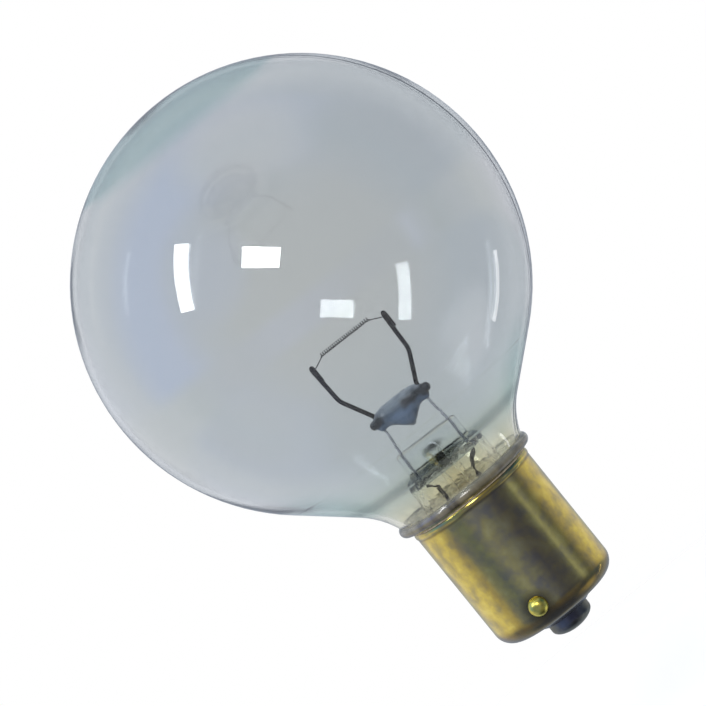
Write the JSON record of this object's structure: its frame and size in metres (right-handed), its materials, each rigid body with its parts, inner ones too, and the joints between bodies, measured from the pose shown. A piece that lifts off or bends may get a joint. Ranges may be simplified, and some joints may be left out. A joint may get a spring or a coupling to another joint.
{
  "type": "globe vanity bulb",
  "caption": "Clear round globe bulb with a straight coiled filament on two leads, on a brass bayonet cap with side pins and a soldered centre contact.",
  "frame": {"origin": "on the lamp's axis, in the plane of the two bayonet pins", "axes": "+Z along the lamp's axis from the cap to the globe, pins along -Y and +Y, filament along X"},
  "size_m": [0.0496, 0.0496, 0.0723],
  "materials": {
    "clear_glass": "clear blown glass",
    "stem_glass": "clear lead glass, faintly smoked at the seal",
    "bead_glass": "dark blue-grey fused glass",
    "tungsten": "drawn tungsten wire",
    "lead_nickel": "oxidised nickel wire",
    "lead_fine": "drawn wire",
    "lead_copper": "dull copper wire",
    "cap_brass": "bright drawn brass",
    "pin_brass": "bright turned brass",
    "cement": "matte baked cement",
    "black_glass": "opaque black glass",
    "solder": "dull tin-lead solder"
  },
  "bodies": {
    "root": {"glass_envelope": "clear_glass", "glass_stem": "stem_glass", "exhaust_tube": "stem_glass", "bridge_bead": "bead_glass", "filament": "tungsten", "inner_lead_left": "lead_nickel", "inner_lead_right": "lead_nickel", "seal_lead_left": "lead_fine", "seal_lead_right": "lead_fine", "contact_lead": "lead_copper", "shell_lead": "lead_copper", "base_shell": "cap_brass", "bayonet_pin_front": "pin_brass", "bayonet_pin_rear": "pin_brass", "basing_cement": "cement", "base_insulator": "black_glass", "contact_plate": "solder", "contact_solder": "solder", "shell_solder": "solder"}
  },
  "joints": []
}
